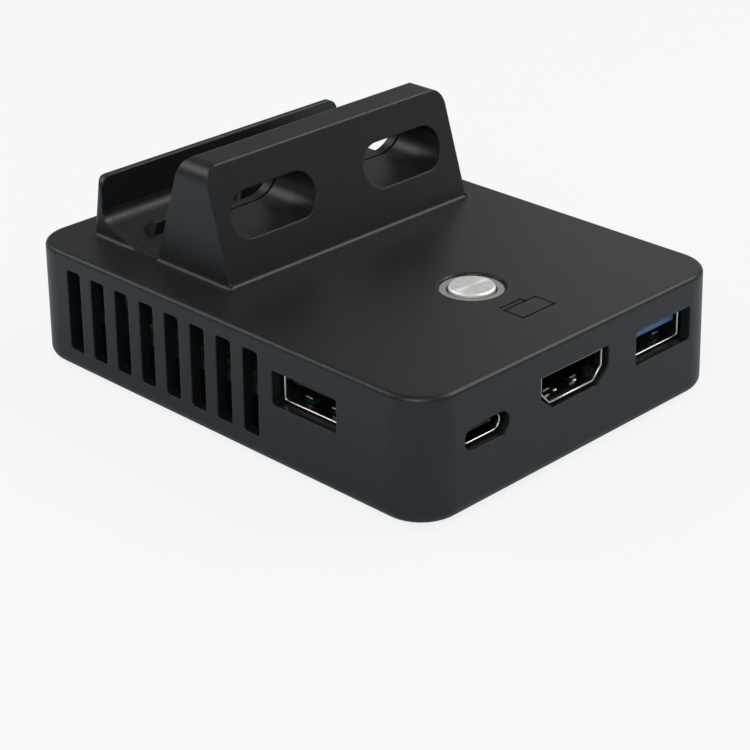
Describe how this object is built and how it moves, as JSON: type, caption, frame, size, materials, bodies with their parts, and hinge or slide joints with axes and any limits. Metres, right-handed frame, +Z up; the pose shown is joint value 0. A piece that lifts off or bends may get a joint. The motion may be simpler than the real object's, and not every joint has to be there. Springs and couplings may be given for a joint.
{
  "type": "console tv adapter",
  "caption": "Flat desk box with a leaning cradle that holds a handheld console over a plug, a sprung button, data, video and power sockets.",
  "frame": {"origin": "under the middle of the box, level with the underside of the feet", "axes": "+X along the cradle, -X is the slotted side, -Y is the socket face, +Z up"},
  "size_m": [0.0726, 0.0946, 0.0421],
  "materials": {
    "housing": "fine satin grain",
    "liner": "fine satin grain",
    "base": "fine grain",
    "foot": "matt",
    "steel": "zinc plated",
    "board": "solder mask",
    "shell": "nickel plated",
    "blue": "smooth",
    "dark": "smooth",
    "gold": "gold plated",
    "film": "smooth film",
    "ring": "frosted, passes light",
    "cap": "spun, bare",
    "stem": "smooth",
    "lamp": "clear",
    "can": "satin"
  },
  "bodies": {
    "housing": {"top_housing": "housing", "slot_liner": "liner", "base_plate": "base", "rubber_feet": "foot", "case_screws": "steel", "main_board": "board", "board_screws": "steel", "fast_socket_shell": "shell", "fast_socket_tongue": "blue", "fast_socket_contacts": "gold", "side_socket_shell": "shell", "side_socket_tongue": "dark", "side_socket_contacts": "gold", "video_socket_shell": "shell", "video_socket_tongue": "dark", "video_socket_contacts": "gold", "power_inlet_shell": "shell", "power_inlet_tongue": "dark", "plug_board": "board", "plug_shell": "shell", "plug_core": "dark", "plug_base": "dark", "plug_screws": "steel", "ribbon": "film", "ribbon_socket": "dark", "light_ring": "ring", "switch_body": "dark", "ring_lamps": "lamp", "video_chip": "dark", "hub_chip": "dark", "power_chip": "dark", "inductors": "dark", "capacitors": "can", "crystal": "can"},
    "button": {"button_cap": "cap", "button_stem": "stem", "switch_plunger": "dark"}
  },
  "joints": [
    {"name": "button_press", "type": "slide", "parent": "housing", "child": "button", "axis": [0, 0, -1], "range_m": [0, 0.0005], "stiffness_N_per_m": 2500}
  ]
}
